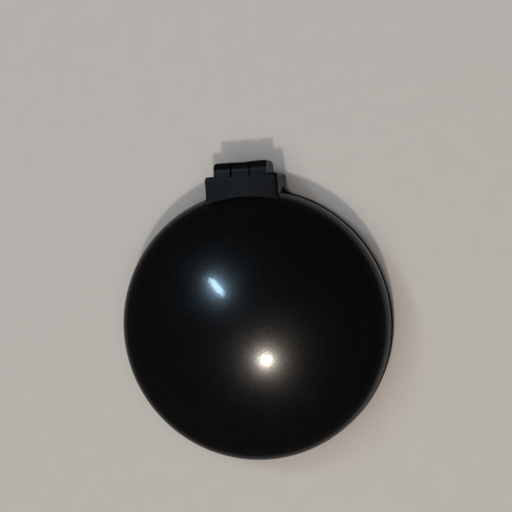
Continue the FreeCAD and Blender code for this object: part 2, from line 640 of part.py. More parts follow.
def make_mirror_back():
    inner_round = BACK_EDGE_RADIUS - FLOOR_THICKNESS
    slant = math.sin(RIGHT_ANGLE / 2)
    outer_centre = MIRROR_RIM_RADIUS - BACK_EDGE_RADIUS
    inner_centre = BORE_RADIUS - inner_round
    inner_z = FLOOR_THICKNESS + inner_round
    corners = [
        point(MIRROR_RIM_RADIUS, 0, BACK_EDGE_RADIUS),
        point(MIRROR_RIM_RADIUS, 0, MIRROR_HALF_HEIGHT),
        point(BORE_RADIUS, 0, MIRROR_HALF_HEIGHT),
        point(BORE_RADIUS, 0, inner_z),
    ]
    outer_middle = point(outer_centre + BACK_EDGE_RADIUS * slant, 0, BACK_EDGE_RADIUS * (1 - slant))
    inner_middle = point(inner_centre + inner_round * slant, 0, inner_z - inner_round * slant)
    edges = [line(start, end) for start, end in zip(corners, corners[1:])]
    edges += [
        arc(corners[-1], inner_middle, point(inner_centre, 0, FLOOR_THICKNESS)),
        line(point(inner_centre, 0, FLOOR_THICKNESS), point(0, 0, FLOOR_THICKNESS)),
        line(point(0, 0, FLOOR_THICKNESS), point(0, 0, 0)),
        line(point(0, 0, 0), point(outer_centre, 0, 0)),
        arc(point(outer_centre, 0, 0), outer_middle, corners[0]),
    ]
    dish = rounded_rim(turned(edges), MIRROR_HALF_HEIGHT, MIRROR_RIM_RADIUS, RIM_EDGE_RADIUS)
    neck = neck_solid(MIRROR_RIM_RADIUS, MIRROR_NECK_LIFT,
                      lambda y: MIRROR_HALF_HEIGHT, lambda y: MIRROR_NECK_LIFT)
    recess_x = KNUCKLE_END_X + SIDE_GAP
    recess_y = AXIS_Y - KNUCKLE_RADIUS - SWING_GAP
    neck = neck.cut(block((-recess_x, recess_x), (recess_y, AXIS_Y), (0, RIM_Z)))
    neck = neck.cut(disc(BORE_RADIUS, 0, RIM_Z))
    arms = []
    for face in arm_side():
        arms.append(slab(face, -ARM_X, ARM_X))
    solid = dish.fuse([neck] + arms)
    way_y = (AXIS_Y - TONGUE_SWEEP, KNUCKLE_END_Y + OVERRUN)
    tongue_way = block((-TONGUE_SLOT_HALF, TONGUE_SLOT_HALF), way_y, (AXIS_Z - TONGUE_DIP, NECK_END_Z))
    pin_bore = cross_rod(HINGE_PIN_RADIUS + RUNNING_GAP, -ARM_X - OVERRUN, ARM_X + OVERRUN, AXIS_Y, AXIS_Z)
    lift_bore = cross_rod(LIFT_PIN_RADIUS, -ARM_X - OVERRUN, ARM_X + OVERRUN, LIFT_PIN_Y, LIFT_PIN_Z)
    return solid.cut([tongue_way, pin_bore, lift_bore]).removeSplitter()


def make_lift_pin():
    return cross_rod(LIFT_PIN_RADIUS, -ARM_X, ARM_X, LIFT_PIN_Y, LIFT_PIN_Z)


def make_mirror_frame():
    """Ring that covers the edge of the glass and stands on the floor of the dish."""
    leg_radius = GLASS_RADIUS + SEAT_GAP
    leg = ring(leg_radius + FRAME_THICKNESS, leg_radius, FLOOR_THICKNESS, FRAME_TOP_Z)
    lip = ring(leg_radius + FRAME_THICKNESS, MIRROR_OPENING_RADIUS, GLASS_FRONT_Z, FRAME_TOP_Z)
    top = ring(FLANGE_RADIUS, MIRROR_OPENING_RADIUS, FRAME_TOP_Z - FRAME_THICKNESS, FRAME_TOP_Z)
    hook = front_arc(HOOK_RADIUS, HOOK_RADIUS - HOOK_THICKNESS, FRAME_TOP_Z - FRAME_THICKNESS, HOOK_TOP_Z)
    bump = front_arc(HOOK_RADIUS + HOOK_BUMP, HOOK_RADIUS - HOOK_THICKNESS / 2,
                     HOOK_TOP_Z - HOOK_BUMP_HEIGHT, HOOK_TOP_Z)
    solid = joined(top, [leg, lip])
    solid = rounded_rim(solid, FRAME_TOP_Z, MIRROR_OPENING_RADIUS, RIM_EDGE_RADIUS)
    return joined(solid, [hook, bump])


def make_mirror_glass():
    return disc(GLASS_RADIUS, GLASS_BACK_Z, GLASS_FRONT_Z)


def make_mirror_adhesive():
    return disc(GLASS_RADIUS - ADHESIVE_MARGIN, FLOOR_THICKNESS, GLASS_BACK_Z)


def main():
    os.makedirs("parts", exist_ok=True)
    save("mirror_back", [make_mirror_back()])
    save("mirror_frame", [make_mirror_frame()])
    save("mirror_glass", [make_mirror_glass()])
    save("mirror_adhesive", [make_mirror_adhesive()])
    save("lift_pin", [make_lift_pin()])
    save("brush_shell", [make_brush_shell()])
    save("guide_bezel", [make_guide_bezel()])
    save("hinge_pin_right", [make_hinge_pin()])
    save("hinge_pin_left", [mirrored(make_hinge_pin())])
    save("lift_plate", [make_lift_plate()])
    save("cushion_ring", [make_cushion_ring()])
    places = bristle_places()
    save("cushion", [make_cushion(places)])
    for step, found in enumerate(places):
        row = "centre" if step == 0 else "ring_" + str(step)
        save("bristles_" + row, [make_bristle(root, direction) for root, direction in found])
        save("tips_" + row, [make_tip(root, direction) for root, direction in found])


main()
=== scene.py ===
import math

import bmesh
import bpy
from mathutils import Matrix, Vector


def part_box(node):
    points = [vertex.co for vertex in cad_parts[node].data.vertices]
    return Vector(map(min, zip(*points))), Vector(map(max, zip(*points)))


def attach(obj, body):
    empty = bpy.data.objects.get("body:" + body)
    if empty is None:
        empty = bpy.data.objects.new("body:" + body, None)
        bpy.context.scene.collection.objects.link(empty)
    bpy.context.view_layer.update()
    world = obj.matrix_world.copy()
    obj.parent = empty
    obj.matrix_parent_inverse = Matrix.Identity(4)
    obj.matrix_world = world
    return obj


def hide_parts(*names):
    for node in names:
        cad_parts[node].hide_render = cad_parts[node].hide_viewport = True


bl_info = {
    "name": "Folding mirror hair brush",
    "version": (1, 0, 0),
    "blender": (4, 5, 0),
    "location": "View3D > Sidebar > Mirror brush",
    "description": "Gives the folding mirror hair brush its soft pieces, finishes, light and camera",
    "category": "Object",
}

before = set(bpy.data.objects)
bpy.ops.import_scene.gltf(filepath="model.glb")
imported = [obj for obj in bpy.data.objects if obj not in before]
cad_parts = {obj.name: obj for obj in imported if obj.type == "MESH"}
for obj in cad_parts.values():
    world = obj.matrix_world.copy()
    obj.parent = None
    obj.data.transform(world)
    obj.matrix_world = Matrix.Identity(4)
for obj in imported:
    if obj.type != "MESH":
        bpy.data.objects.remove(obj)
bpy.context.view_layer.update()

MM = 0.001
CASE_NODES = ("brush_shell", "mirror_back", "mirror_frame", "guide_bezel", "cushion_ring")
BRISTLE_ROWS = ("centre", "ring_1", "ring_2", "ring_3")

# The solid cushion gives the apex, the flange and the back of the rubber one.
CUSHION_LOW, CUSHION_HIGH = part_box("cushion")
RING_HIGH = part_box("cushion_ring")[1]
FLANGE_WIDTH = 1.8 * MM
BARE_EDGE = 2.95 * MM


def linear(code):
    """Linear colour of an sRGB hex value."""
    shares = [int(code[place:place + 2], 16) / 255 for place in (1, 3, 5)]
    return tuple(s / 12.92 if s <= 0.04045 else ((s + 0.055) / 1.055) ** 2.4 for s in shares)


def opaque(colour):
    return (*colour, 1.0)


def per_size(millimetres):
    """Texture scale at which one cell of a pattern is that wide."""
    return 1 / (millimetres * MM)


def add_node(tree, kind, inputs=None, **settings):
    """Adds a node, sets its properties, and fills its inputs with values or links."""
    node = tree.nodes.new(kind)
    for name, value in settings.items():
        setattr(node, name, value)
    for key, value in (inputs or {}).items():
        if isinstance(value, bpy.types.NodeSocket):
            tree.links.new(value, node.inputs[key])
        else:
            node.inputs[key].default_value = value
    return node


def new_material(name):
    """Empty material with its tree, its object coordinates and its shader."""
    material = bpy.data.materials.new(name)
    material.use_nodes = True
    tree = material.node_tree
    tree.nodes.clear()
    coordinates = add_node(tree, "ShaderNodeTexCoord").outputs["Object"]
    shader = add_node(tree, "ShaderNodeBsdfPrincipled")
    add_node(tree, "ShaderNodeOutputMaterial", {"Surface": shader.outputs["BSDF"]})
    return material, tree, coordinates, shader


def set_inputs(tree, shader, inputs):
    for name, value in inputs.items():
        if isinstance(value, bpy.types.NodeSocket):
            tree.links.new(value, shader.inputs[name])
        else:
            shader.inputs[name].default_value = value


def polished_abs(colour, dust_colour):
    """Polished ABS moulding: a deep gloss over fine mould grain, each grain polished more or less.

    That gives highlights a bright middle and a wide glow. Handling leaves patches, hairlines and dust.
    """
    speck_dulling = 0.4
    hairline_height = -0.6
    material, tree, coordinates, shader = new_material("polished_abs")
    handling = add_node(tree, "ShaderNodeTexNoise", {
        "Vector": coordinates, "Scale": per_size(11), "Detail": 3.0})
    gloss = add_node(tree, "ShaderNodeMapRange", {
        "Value": handling.outputs["Fac"], "From Min": 0.35, "From Max": 0.7,
        "To Min": 0.19, "To Max": 0.23})
    finish = add_node(tree, "ShaderNodeTexNoise", {"Vector": coordinates, "Scale": per_size(0.1)})
    haze = add_node(tree, "ShaderNodeMapRange", {
        "Value": finish.outputs["Fac"], "From Min": 0.46, "From Max": 0.66, "To Min": 0.0, "To Max": 0.18})
    polish = add_node(tree, "ShaderNodeMath", {
        0: gloss.outputs["Result"], 1: haze.outputs["Result"]})

    # Specks 0.2 mm across. Only those whose cell centre lies in the surface show.
    specks = add_node(tree, "ShaderNodeTexVoronoi", {"Vector": coordinates, "Scale": per_size(3.4)})
    speck = add_node(tree, "ShaderNodeMapRange", {
        "Value": specks.outputs["Distance"], "From Min": 0.015, "From Max": 0.035,
        "To Min": 1.0, "To Max": 0.0})
    tint = add_node(tree, "ShaderNodeMix", {"Factor": speck.outputs["Result"], "A": opaque(colour),
                                            "B": opaque(dust_colour)}, data_type="RGBA")
    dull = add_node(tree, "ShaderNodeMath", {
        0: speck.outputs["Result"], 1: speck_dulling, 2: polish.outputs["Value"]},
        operation="MULTIPLY_ADD")

    # Hairlines are far thinner than a pixel, so they are drawn 0.2 mm wide to show in the highlights.
    turned = add_node(tree, "ShaderNodeMapping", {
        "Vector": coordinates, "Rotation": (0.0, 0.0, 0.7), "Scale": (1.0, 0.03, 1.0)})
    hair = add_node(tree, "ShaderNodeTexNoise", {
        "Vector": turned.outputs["Vector"], "Scale": per_size(0.8)})
    scratch = add_node(tree, "ShaderNodeMapRange", {
        "Value": hair.outputs["Fac"], "From Min": 0.7, "From Max": 0.76, "To Min": 0.0, "To Max": 1.0})
    grain = add_node(tree, "ShaderNodeTexNoise", {
        "Vector": coordinates, "Scale": per_size(0.7), "Detail": 1.0})
    relief = add_node(tree, "ShaderNodeMath", {
        0: scratch.outputs["Result"], 1: hairline_height, 2: grain.outputs["Fac"]},
        operation="MULTIPLY_ADD")
    bump = add_node(tree, "ShaderNodeBump", {"Height": relief.outputs["Value"], "Strength": 1.0,
                                             "Distance": 0.006 * MM})
    set_inputs(tree, shader, {
        "Base Color": tint.outputs["Result"], "Roughness": dull.outputs["Value"], "IOR": 1.54,
        "Coat Weight": 0.65, "Coat Roughness": 0.1, "Coat IOR": 1.5,
        "Normal": bump.outputs["Normal"], "Coat Normal": bump.outputs["Normal"]})
    return material


def satin_abs(colour):
    """Plain ABS moulding from an unpolished mould: the even satin of fine spark erosion."""
    material, tree, coordinates, shader = new_material("satin_abs")
    pits = add_node(tree, "ShaderNodeTexNoise", {
        "Vector": coordinates, "Scale": per_size(0.35), "Detail": 2.0})
    sheen = add_node(tree, "ShaderNodeMapRange", {
        "Value": pits.outputs["Fac"], "To Min": 0.42, "To Max": 0.56})
    bump = add_node(tree, "ShaderNodeBump", {"Height": pits.outputs["Fac"], "Distance": 0.012 * MM})
    set_inputs(tree, shader, {
        "Base Color": opaque(colour), "Roughness": sheen.outputs["Result"], "IOR": 1.54,
        "Normal": bump.outputs["Normal"]})
    return material


def silvered_glass(colour):
    """Float glass silvered on its back: a sharp reflection, faintly green and hazed by fingers."""
    material, tree, coordinates, shader = new_material("silvered_glass")
    haze = add_node(tree, "ShaderNodeTexNoise", {
        "Vector": coordinates, "Scale": per_size(16), "Detail": 4.0})
    smear = add_node(tree, "ShaderNodeMapRange", {
        "Value": haze.outputs["Fac"], "From Min": 0.45, "From Max": 0.75, "To Min": 1.0, "To Max": 0.94})
    tint = add_node(tree, "ShaderNodeMix", {
        "Factor": 1.0, "A": opaque(colour), "B": smear.outputs["Result"]},
        data_type="RGBA", blend_type="MULTIPLY")
    set_inputs(tree, shader, {"Base Color": tint.outputs["Result"], "Metallic": 1.0, "Roughness": 0.0})
    return material


def moulded_rubber(colour, bloom_colour):
    """Moulded rubber sheet: matt, with a pale bloom in patches and a fine leathery skin."""
    material, tree, coordinates, shader = new_material("moulded_rubber")
    patches = add_node(tree, "ShaderNodeTexNoise", {
        "Vector": coordinates, "Scale": per_size(7), "Detail": 4.0})
    bloom = add_node(tree, "ShaderNodeMapRange", {
        "Value": patches.outputs["Fac"], "From Min": 0.4, "From Max": 0.8, "To Min": 0.0, "To Max": 0.5})
    tint = add_node(tree, "ShaderNodeMix", {"Factor": bloom.outputs["Result"], "A": opaque(colour),
                                            "B": opaque(bloom_colour)}, data_type="RGBA")
    skin = add_node(tree, "ShaderNodeTexVoronoi", {"Vector": coordinates, "Scale": per_size(0.5)})
    dull = add_node(tree, "ShaderNodeMapRange", {
        "Value": patches.outputs["Fac"], "To Min": 0.5, "To Max": 0.72})
    bump = add_node(tree, "ShaderNodeBump", {"Height": skin.outputs["Distance"], "Strength": 0.6,
                                             "Distance": 0.02 * MM})
    set_inputs(tree, shader, {
        "Base Color": tint.outputs["Result"], "Roughness": dull.outputs["Result"], "IOR": 1.5,
        "Normal": bump.outputs["Normal"]})
    return material


def drawn_nylon(colour):
    """Drawn nylon rod: a waxy satin with faint lines along its length."""
    material, tree, coordinates, shader = new_material("drawn_nylon")
    stretched = add_node(tree, "ShaderNodeMapping", {
        "Vector": coordinates, "Scale": (1.0, 1.0, 0.08)})
    lines = add_node(tree, "ShaderNodeTexNoise", {
        "Vector": stretched.outputs["Vector"], "Scale": per_size(0.25)})
    sheen = add_node(tree, "ShaderNodeMapRange", {
        "Value": lines.outputs["Fac"], "To Min": 0.28, "To Max": 0.46})
    bump = add_node(tree, "ShaderNodeBump", {"Height": lines.outputs["Fac"], "Distance": 0.01 * MM})
    set_inputs(tree, shader, {
        "Base Color": opaque(colour), "Roughness": sheen.outputs["Result"], "IOR": 1.53,
        "Normal": bump.outputs["Normal"]})
    return material


def dipped_resin(colour, worn_colour):
    """Dipped resin bead: a smooth drop whose shade differs from bead to bead."""
    material, tree, coordinates, shader = new_material("dipped_resin")
    shade = add_node(tree, "ShaderNodeAttribute", attribute_name="shade")
    clouds = add_node(tree, "ShaderNodeTexNoise", {
        "Vector": coordinates, "Scale": per_size(0.9), "Detail": 2.0})
    mixed = add_node(tree, "ShaderNodeMath", {0: shade.outputs["Fac"], 1: clouds.outputs["Fac"]},
                     operation="MULTIPLY")
    tint = add_node(tree, "ShaderNodeMix", {"Factor": mixed.outputs["Value"], "A": opaque(colour),
                                            "B": opaque(worn_colour)}, data_type="RGBA")
    gloss = add_node(tree, "ShaderNodeMapRange", {
        "Value": clouds.outputs["Fac"], "To Min": 0.2, "To Max": 0.38})
    set_inputs(tree, shader, {
        "Base Color": tint.outputs["Result"], "Roughness": gloss.outputs["Result"], "IOR": 1.5,
        "Subsurface Weight": 0.15, "Subsurface Radius": (0.4 * MM, 0.4 * MM, 0.4 * MM)})
    return material


def drawn_steel(colour):
    """Drawn steel wire: bright, with fine die lines along the pin."""
    material, tree, coordinates, shader = new_material("drawn_steel")
    stretched = add_node(tree, "ShaderNodeMapping", {
        "Vector": coordinates, "Scale": (0.05, 1.0, 1.0)})
    lines = add_node(tree, "ShaderNodeTexNoise", {
        "Vector": stretched.outputs["Vector"], "Scale": per_size(0.2)})
    sheen = add_node(tree, "ShaderNodeMapRange", {
        "Value": lines.outputs["Fac"], "To Min": 0.22, "To Max": 0.42})
    bump = add_node(tree, "ShaderNodeBump", {
        "Height": lines.outputs["Fac"], "Distance": 0.006 * MM})
    set_inputs(tree, shader, {
        "Base Color": opaque(colour), "Metallic": 1.0, "Roughness": sheen.outputs["Result"],
        "Normal": bump.outputs["Normal"]})
    return material


def foam_tape(colour):
    """Cut foam tape: matt, with open cells about 0.4 mm wide."""
    material, tree, coordinates, shader = new_material("foam_tape")
    cells = add_node(tree, "ShaderNodeTexVoronoi", {"Vector": coordinates, "Scale": per_size(0.4)})
    shadow = add_node(tree, "ShaderNodeMapRange", {
        "Value": cells.outputs["Distance"], "To Min": 0.7, "To Max": 1.05})
    tint = add_node(tree, "ShaderNodeMix", {
        "Factor": 1.0, "A": opaque(colour), "B": shadow.outputs["Result"]},
        data_type="RGBA", blend_type="MULTIPLY")
    bump = add_node(tree, "ShaderNodeBump", {
        "Height": cells.outputs["Distance"], "Distance": 0.08 * MM})
    set_inputs(tree, shader, {
        "Base Color": tint.outputs["Result"], "Roughness": 0.9, "Normal": bump.outputs["Normal"]})
    return material


def matt_board(colour):
    """Uncoated board under the case: flat and pale, with a faint fibre."""
    material, tree, coordinates, shader = new_material("matt_board")
    fibre = add_node(tree, "ShaderNodeTexNoise", {
        "Vector": coordinates, "Scale": per_size(6), "Detail": 5.0})
    shade = add_node(tree, "ShaderNodeMapRange", {
        "Value": fibre.outputs["Fac"], "To Min": 0.97, "To Max": 1.03})
    tint = add_node(tree, "ShaderNodeMix", {
        "Factor": 1.0, "A": opaque(colour), "B": shade.outputs["Result"]},
        data_type="RGBA", blend_type="MULTIPLY")

    # Painted shade in reflections: in gloss the board is darkened towards black, more so further out, so
    # that the dome stays black.
    # Only close to the rim, to the right of the hinge, is it darkened least, so it keeps most of its light
    # there.
    ray = add_node(tree, "ShaderNodeLightPath")
    bright_angle = math.radians(40)
    bright_way = Vector((math.cos(bright_angle), math.sin(bright_angle), 0))
    sideways = add_node(tree, "ShaderNodeVectorMath", {
        0: coordinates, 1: bright_way}, operation="DOT_PRODUCT")
    outwards = add_node(tree, "ShaderNodeVectorMath", {0: coordinates}, operation="LENGTH")
    at_rim = add_node(tree, "ShaderNodeMapRange", {
        "Value": sideways.outputs["Value"], "From Min": 29 * MM, "From Max": 36 * MM,
        "To Min": 0.72, "To Max": 0.16})
    around = add_node(tree, "ShaderNodeMapRange", {
        "Value": outwards.outputs["Value"], "From Min": 37 * MM, "From Max": 39 * MM,
        "To Min": at_rim.outputs["Result"], "To Max": 0.72})
    beyond = add_node(tree, "ShaderNodeMapRange", {
        "Value": outwards.outputs["Value"], "From Min": 45 * MM, "From Max": 57 * MM,
        "To Min": around.outputs["Result"], "To Max": 0.97})
    blurred = add_node(tree, "ShaderNodeMath", {
        0: ray.outputs["Is Glossy Ray"], 1: ray.outputs["Is Singular Ray"]}, operation="SUBTRACT")
    # Painted shade: blurred glossy rays see the board darkened by this share; camera and sharp mirror rays
    # see it as it is.
    painted_gloss_shade = add_node(tree, "ShaderNodeMath", {
        0: beyond.outputs["Result"], 1: blurred.outputs["Value"]}, operation="MULTIPLY")
    seen = add_node(tree, "ShaderNodeMix", {
        "Factor": painted_gloss_shade.outputs["Value"], "A": tint.outputs["Result"], "B": opaque((0.0, 0.0, 0.0))},
        data_type="RGBA")
    set_inputs(tree, shader, {
        "Base Color": seen.outputs["Result"], "Roughness": 0.8, "Specular IOR Level": 0.2})
    return material


def new_object(name, mesh):
    piece = bpy.data.objects.new(name, mesh)
    bpy.context.scene.collection.objects.link(piece)
    return piece


def give_finish(nodes, material):
    for name in nodes:
        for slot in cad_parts[name].material_slots:
            slot.material = material


def arc_points(centre, radius, start, end, steps):
    """Points of (distance from axis, height) on an arc, from one angle to another in degrees."""
    points = []
    for step in range(steps + 1):
        angle = math.radians(start + (end - start) * step / steps)
        points.append((centre[0] + radius * math.cos(angle), centre[1] + radius * math.sin(angle)))
    return points


def turned_mesh(name, profile, segments, crease):
    """Closed skin turned about Z from points of (distance from axis, height), the ends on the axis."""
    skin = bmesh.new()
    rings = []
    for radius, height in profile:
        turns = [2 * math.pi * index / segments for index in range(segments)] if radius > 0 else [0]
        places = [(radius * math.cos(turn), radius * math.sin(turn), height) for turn in turns]
        rings.append([skin.verts.new(place) for place in places])
    for ring, following in zip(rings, rings[1:]):
        for index in range(segments):
            corners = [ring[index % len(ring)], ring[(index + 1) % len(ring)],
                       following[(index + 1) % len(following)], following[index % len(following)]]
            skin.faces.new(list(dict.fromkeys(corners)))
    bmesh.ops.recalc_face_normals(skin, faces=skin.faces)
    mesh = bpy.data.meshes.new(name)
    skin.to_mesh(mesh)
    skin.free()
    mesh.shade_smooth()
    mesh.set_sharp_from_angle(angle=math.radians(crease))
    return mesh


def planting_tree():
    """Geometry Nodes tree that plants a shape in rings over the cushion's crown, leaning outwards."""
    tree = bpy.data.node_groups.new("planted_in_rings", "GeometryNodeTree")
    tree.interface.new_socket("Geometry", in_out="OUTPUT", socket_type="NodeSocketGeometry")
    for name, kind in (("Shape", "Object"), ("Rings", "Int"), ("Added Per Ring", "Int"),
                       ("Outer Radius", "Float"), ("Crown Radius", "Float"), ("Apex Height", "Float"),
                       ("Lean", "Float"), ("Unevenness", "Float"), ("Seed", "Int"),
                       ("Finish", "Material")):
        tree.interface.new_socket(name, in_out="INPUT", socket_type="NodeSocket" + kind)
    given = add_node(tree, "NodeGroupInput").outputs
    index = add_node(tree, "GeometryNodeInputIndex").outputs["Index"]

    # Ring k holds k times the added number, so the ring of an index comes from a triangular number.
    eighths = add_node(tree, "ShaderNodeMath", {0: index, 1: 8.0}, operation="MULTIPLY")
    scaled = add_node(tree, "ShaderNodeMath", {
        0: eighths.outputs[0], 1: given["Added Per Ring"]}, operation="DIVIDE")
    raised = add_node(tree, "ShaderNodeMath", {0: scaled.outputs[0], 1: 1.0}, operation="ADD")
    rooted = add_node(tree, "ShaderNodeMath", {0: raised.outputs[0]}, operation="SQRT")
    halved = add_node(tree, "ShaderNodeMath", {
        0: rooted.outputs[0], 1: 0.5, 2: -0.5001}, operation="MULTIPLY_ADD")
    ring = add_node(tree, "ShaderNodeMath", {0: halved.outputs[0]}, operation="CEIL").outputs[0]
    share = add_node(tree, "ShaderNodeMath", {
        0: ring, 1: given["Rings"]}, operation="DIVIDE").outputs[0]

    # Turn of each place within its ring
    ring_before = add_node(tree, "ShaderNodeMath", {0: ring, 1: 1.0}, operation="SUBTRACT")
    pairs = add_node(tree, "ShaderNodeMath", {
        0: ring, 1: ring_before.outputs[0]}, operation="MULTIPLY")
    half_step = add_node(tree, "ShaderNodeMath", {
        0: given["Added Per Ring"], 1: 0.5}, operation="MULTIPLY")
    before = add_node(tree, "ShaderNodeMath", {
        0: pairs.outputs[0], 1: half_step.outputs[0], 2: 1.0}, operation="MULTIPLY_ADD")
    place = add_node(tree, "ShaderNodeMath", {0: index, 1: before.outputs[0]}, operation="SUBTRACT")
    in_ring = add_node(tree, "ShaderNodeMath", {
        0: ring, 1: given["Added Per Ring"]}, operation="MULTIPLY")
    part = add_node(tree, "ShaderNodeMath", {
        0: place.outputs[0], 1: in_ring.outputs[0]}, operation="DIVIDE")
    turn = add_node(tree, "ShaderNodeMath", {
        0: part.outputs[0], 1: 2 * math.pi}, operation="MULTIPLY")

    # Root on the crown, which is part of a ball
    radius = add_node(tree, "ShaderNodeMath", {
        0: share, 1: given["Outer Radius"]}, operation="MULTIPLY").outputs[0]
    slope = add_node(tree, "ShaderNodeMath", {
        0: radius, 1: given["Crown Radius"]}, operation="DIVIDE")
    dip = add_node(tree, "ShaderNodeMath", {0: slope.outputs[0]}, operation="ARCSINE")
    level = add_node(tree, "ShaderNodeMath", {0: dip.outputs[0]}, operation="COSINE")
    sunk = add_node(tree, "ShaderNodeMath", {0: 1.0, 1: level.outputs[0]}, operation="SUBTRACT")
    height = add_node(tree, "ShaderNodeMath", {
        0: sunk.outputs[0], 1: given["Crown Radius"], 2: given["Apex Height"]},
        operation="MULTIPLY_ADD")
    spoke = add_node(tree, "ShaderNodeCombineXYZ", {"X": radius, "Z": height.outputs[0]})
    root = add_node(tree, "ShaderNodeVectorRotate", {
        "Vector": spoke.outputs[0], "Angle": turn.outputs[0]}, rotation_type="Z_AXIS")

    # Lean, a little uneven from one to the next
    wander = add_node(tree, "FunctionNodeRandomValue", {
        "Min": -1.0, "Max": 1.0, "Seed": given["Seed"]}, data_type="FLOAT").outputs["Value"]
    uneven = add_node(tree, "ShaderNodeMath", {
        0: wander, 1: given["Unevenness"]}, operation="MULTIPLY")
    lean = add_node(tree, "ShaderNodeMath", {0: share, 1: given["Lean"], 2: uneven.outputs[0]},
                    operation="MULTIPLY_ADD")
    outward = add_node(tree, "ShaderNodeMath", {0: lean.outputs[0]}, operation="SINE")
    upright = add_node(tree, "ShaderNodeMath", {0: lean.outputs[0]}, operation="COSINE")
    downward = add_node(tree, "ShaderNodeMath", {
        0: upright.outputs[0], 1: -1.0}, operation="MULTIPLY")
    slant = add_node(tree, "ShaderNodeCombineXYZ", {
        "X": outward.outputs[0], "Z": downward.outputs[0]})
    direction = add_node(tree, "ShaderNodeVectorRotate", {
        "Vector": slant.outputs[0], "Angle": turn.outputs[0]}, rotation_type="Z_AXIS")

    # Planting
    ring_after = add_node(tree, "ShaderNodeMath", {0: given["Rings"], 1: 1.0}, operation="ADD")
    ring_pairs = add_node(tree, "ShaderNodeMath", {0: given["Rings"], 1: ring_after.outputs[0]},
                          operation="MULTIPLY")
    total = add_node(tree, "ShaderNodeMath", {
        0: ring_pairs.outputs[0], 1: half_step.outputs[0], 2: 1.0}, operation="MULTIPLY_ADD")
    points = add_node(tree, "GeometryNodePoints", {
        "Count": total.outputs[0], "Position": root.outputs[0]})
    aim = add_node(tree, "FunctionNodeAlignRotationToVector", {
        "Vector": direction.outputs[0]}, axis="Z")
    shape = add_node(tree, "GeometryNodeObjectInfo", {"Object": given["Shape"]})
    planted = add_node(tree, "GeometryNodeInstanceOnPoints", {
        "Points": points.outputs[0], "Instance": shape.outputs["Geometry"], "Rotation": aim.outputs[0]})
    tone = add_node(tree, "FunctionNodeRandomValue", {
        "Seed": given["Seed"]}, data_type="FLOAT").outputs["Value"]
    toned = add_node(tree, "GeometryNodeStoreNamedAttribute", {
        "Geometry": planted.outputs[0], "Name": "shade", "Value": tone},
        data_type="FLOAT", domain="INSTANCE")
    whole = add_node(tree, "GeometryNodeRealizeInstances", {"Geometry": toned.outputs[0]})
    finished = add_node(tree, "GeometryNodeSetMaterial", {
        "Geometry": whole.outputs[0], "Material": given["Finish"]})
    add_node(tree, "NodeGroupOutput", {"Geometry": finished.outputs[0]})
    return tree


def planted_mesh(name, shape_mesh, material, seed):
    """Plain mesh of a shape that is planted at every bristle's root."""
    sizes = bpy.context.scene.mirror_brush_pad
    tree = bpy.data.node_groups.get("planted_in_rings") or planting_tree()
    shape = new_object(name + "_shape", shape_mesh)
    holder = new_object(name + "_holder", bpy.data.meshes.new(name + "_holder"))
    modifier = holder.modifiers.new("planting", "NODES")
    modifier.node_group = tree
    values = {
        "Shape": shape, "Rings": sizes.rings, "Added Per Ring": sizes.added_per_ring,
        "Outer Radius": sizes.outer_radius, "Crown Radius": crown_ball_radius(sizes),
        "Apex Height": CUSHION_LOW.z, "Lean": sizes.lean, "Unevenness": sizes.unevenness,
        "Seed": seed, "Finish": material,
    }
    for item in tree.interface.items_tree:
        if item.in_out == "INPUT":
            modifier[item.identifier] = values[item.name]
    evaluated = holder.evaluated_get(bpy.context.evaluated_depsgraph_get())
    mesh = bpy.data.meshes.new_from_object(evaluated)
    mesh.name = name
    bpy.data.objects.remove(holder)
    bpy.data.objects.remove(shape)
    return mesh


def crown_ball_radius(sizes):
    return (sizes.cushion_radius ** 2 + sizes.crown ** 2) / (2 * sizes.crown)


def bristle_length():
    """From the cushion's apex to the end of the middle bead."""
    return CUSHION_LOW.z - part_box("tips_centre")[0].z


class PadSizes(bpy.types.PropertyGroup):
    """Sizes of the rubber cushion and what grows from it"""
    cushion_radius: bpy.props.FloatProperty(
        name="Cushion radius", description="Radius of the cushion inside its ring",
        default=CUSHION_HIGH.x - FLANGE_WIDTH, unit="LENGTH")
    crown: bpy.props.FloatProperty(
        name="Crown", description="How far the cushion bulges from its edge to its middle",
        default=3.6 * MM, unit="LENGTH")
    wall: bpy.props.FloatProperty(
        name="Rubber thickness", description="Thickness of the rubber", default=1.4 * MM, unit="LENGTH")
    edge_radius: bpy.props.FloatProperty(
        name="Edge rounding", description="Rounding between crown and skirt",
        default=1.5 * MM, unit="LENGTH")
    rings: bpy.props.IntProperty(
        name="Rings", description="Rings of bristles round the middle one", default=3)
    added_per_ring: bpy.props.IntProperty(
        name="Added per ring", description="How many bristles each ring has more than the last",
        default=6)
    outer_radius: bpy.props.FloatProperty(
        name="Outer ring", description="Radius of the outermost ring's roots",
        default=CUSHION_HIGH.x - FLANGE_WIDTH - BARE_EDGE, unit="LENGTH")
    lean: bpy.props.FloatProperty(
        name="Lean", description="Outward lean of the outermost bristles",
        default=math.radians(22), subtype="ANGLE")
    unevenness: bpy.props.FloatProperty(
        name="Unevenness", description="How much a bristle's lean strays",
        default=math.radians(0.7), subtype="ANGLE")
    root_radius: bpy.props.FloatProperty(
        name="Bristle root", description="Radius of a bristle at the rubber",
        default=0.55 * MM, unit="LENGTH")
    tip_radius: bpy.props.FloatProperty(
        name="Bristle tip", description="Radius of a bristle inside its bead",
        default=0.4 * MM, unit="LENGTH")
    bead_radius: bpy.props.FloatProperty(
        name="Bead", description="Radius of the round bead", default=0.9 * MM, unit="LENGTH")
    collar_height: bpy.props.FloatProperty(
        name="Collar", description="Height of the rubber collar round each bristle",
        default=0.45 * MM, unit="LENGTH")


